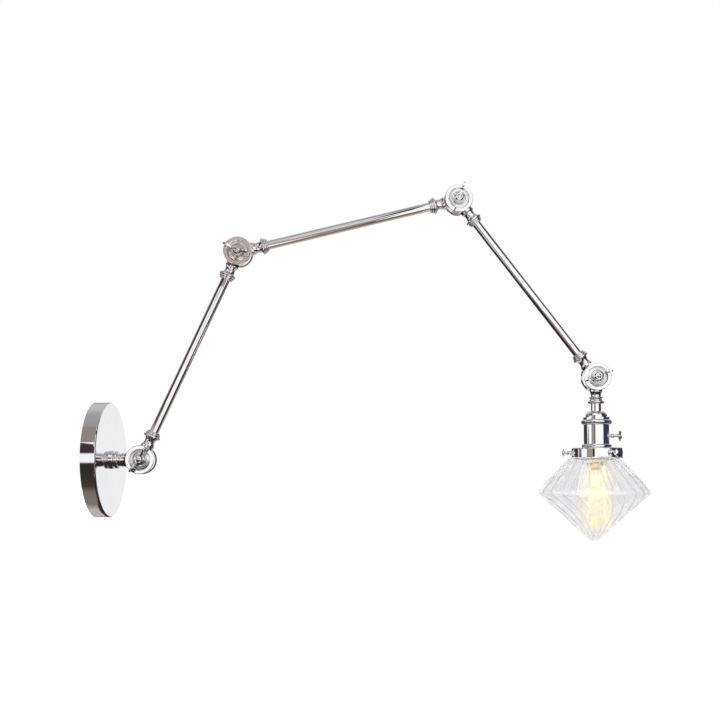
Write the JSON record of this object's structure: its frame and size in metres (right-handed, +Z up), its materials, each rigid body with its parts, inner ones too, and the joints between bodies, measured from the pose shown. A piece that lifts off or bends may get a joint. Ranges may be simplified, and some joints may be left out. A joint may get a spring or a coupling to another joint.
{
  "type": "swing arm wall sconce",
  "caption": "Wall lamp with a round plate, swivelling stem, jointed tube arms with wing nut knuckles, keyed lamp holder, clear swirled glass shade and filament bulb.",
  "frame": {"origin": "on the wall plane, at the centre of the wall plate's back", "axes": "+X out from the wall along the stem, +Z up, -Y the side the wing nuts face; the arms lie in the XZ plane"},
  "size_m": [0.7183, 0.148, 0.4711],
  "materials": {
    "chrome": "polished",
    "plate_chrome": "polished",
    "steel": "zinc plated",
    "brass": "satin",
    "bulb_brass": "polished",
    "ground_green": "gloss",
    "fibre": "matt",
    "cable": "matt",
    "porcelain": "glazed",
    "shade_glass": "clear",
    "bulb_glass": "clear, slightly amber",
    "filament": "glowing"
  },
  "bodies": {
    "wall_mount": {"wall_plate": "plate_chrome", "mounting_bracket": "steel", "plate_screw_top": "steel", "plate_screw_bottom": "steel", "ground_screw": "ground_green", "nipple": "brass", "nipple_washer": "steel", "nipple_nut": "brass", "base_collar": "chrome"},
    "stem": {"stem": "chrome", "stem_set_screw": "steel", "knuckle_1_bolt": "chrome", "knuckle_1_friction_washer": "fibre", "knuckle_1_spring_washer": "steel"},
    "arm_1": {"knuckle_1_front": "chrome", "arm_1_tube": "chrome", "arm_1_wire": "cable", "knuckle_2_rear": "chrome", "knuckle_2_bolt": "chrome", "knuckle_2_friction_washer": "fibre", "knuckle_2_spring_washer": "steel"},
    "arm_2": {"knuckle_2_front": "chrome", "arm_2_tube": "chrome", "arm_2_wire": "cable", "knuckle_3_rear": "chrome", "knuckle_3_bolt": "chrome", "knuckle_3_friction_washer": "fibre", "knuckle_3_spring_washer": "steel"},
    "arm_3": {"knuckle_3_front": "chrome", "arm_3_tube": "chrome", "arm_3_wire": "cable", "knuckle_4_rear": "chrome", "knuckle_4_bolt": "chrome", "knuckle_4_friction_washer": "fibre", "knuckle_4_spring_washer": "steel"},
    "head": {"knuckle_4_front": "chrome", "head_tube": "chrome", "holder_cap": "chrome", "holder_barrel": "chrome", "holder_insulator": "porcelain", "holder_contact": "brass", "lamp_screw_shell": "brass", "shade_cup": "chrome", "cup_lock_ring": "brass", "glass_shade": "shade_glass", "bulb_glass": "bulb_glass", "bulb_cap": "bulb_brass", "bulb_contact": "brass", "bulb_stem": "bulb_glass", "bulb_filament": "filament"},
    "wing_nut_1": {"knuckle_1_wing_nut": "chrome"},
    "wing_nut_2": {"knuckle_2_wing_nut": "chrome"},
    "wing_nut_3": {"knuckle_3_wing_nut": "chrome"},
    "wing_nut_4": {"knuckle_4_wing_nut": "chrome"},
    "switch_key": {"switch_key": "chrome"},
    "shade_screw_1": {"shade_screw_1": "chrome"},
    "shade_screw_2": {"shade_screw_2": "chrome"},
    "shade_screw_3": {"shade_screw_3": "chrome"}
  },
  "joints": [
    {"name": "base_swivel", "type": "hinge", "parent": "wall_mount", "child": "stem", "pos_m": [0.03, 0, 0], "axis": [1, 0, 0], "range_deg": [-90, 90]},
    {"name": "knuckle_1_turn", "type": "hinge", "parent": "stem", "child": "arm_1", "pos_m": [0.055, 0, 0], "axis": [0, 1, 0], "range_deg": [-24.8, 155.2]},
    {"name": "knuckle_2_turn", "type": "hinge", "parent": "arm_1", "child": "arm_2", "pos_m": [0.17958, 0, 0.26961], "axis": [0, 1, 0], "range_deg": [-141.2, 38.8]},
    {"name": "knuckle_3_turn", "type": "hinge", "parent": "arm_2", "child": "arm_3", "pos_m": [0.46775, 0, 0.34146], "axis": [0, 1, 0], "range_deg": [-156.2, 23.8]},
    {"name": "knuckle_4_turn", "type": "hinge", "parent": "arm_3", "child": "head", "pos_m": [0.64979, 0, 0.10679], "axis": [0, 1, 0], "range_deg": [-127.8, 52.2]},
    {"name": "wing_nut_1_turn", "type": "hinge", "parent": "stem", "child": "wing_nut_1", "pos_m": [0.055, 0, 0], "axis": [0, -1, 0], "range_deg": [0, 360]},
    {"name": "wing_nut_2_turn", "type": "hinge", "parent": "arm_1", "child": "wing_nut_2", "pos_m": [0.17958, 0, 0.26961], "axis": [0, -1, 0], "range_deg": [0, 360]},
    {"name": "wing_nut_3_turn", "type": "hinge", "parent": "arm_2", "child": "wing_nut_3", "pos_m": [0.46775, 0, 0.34146], "axis": [0, -1, 0], "range_deg": [0, 360]},
    {"name": "wing_nut_4_turn", "type": "hinge", "parent": "arm_3", "child": "wing_nut_4", "pos_m": [0.64979, 0, 0.10679], "axis": [0, -1, 0], "range_deg": [0, 360]},
    {"name": "switch_turn", "type": "hinge", "parent": "head", "child": "switch_key", "pos_m": [0.66979, 0, 0.02879], "axis": [1, 0, 0], "continuous": true},
    {"name": "shade_screw_1_slide", "type": "slide", "parent": "head", "child": "shade_screw_1", "axis": [0.4067, -0.9135, 0], "range_m": [0, 0.004]},
    {"name": "shade_screw_2_slide", "type": "slide", "parent": "head", "child": "shade_screw_2", "axis": [-0.9945, 0.1045, 0], "range_m": [0, 0.004]},
    {"name": "shade_screw_3_slide", "type": "slide", "parent": "head", "child": "shade_screw_3", "axis": [0.5878, 0.809, 0], "range_m": [0, 0.004]}
  ]
}
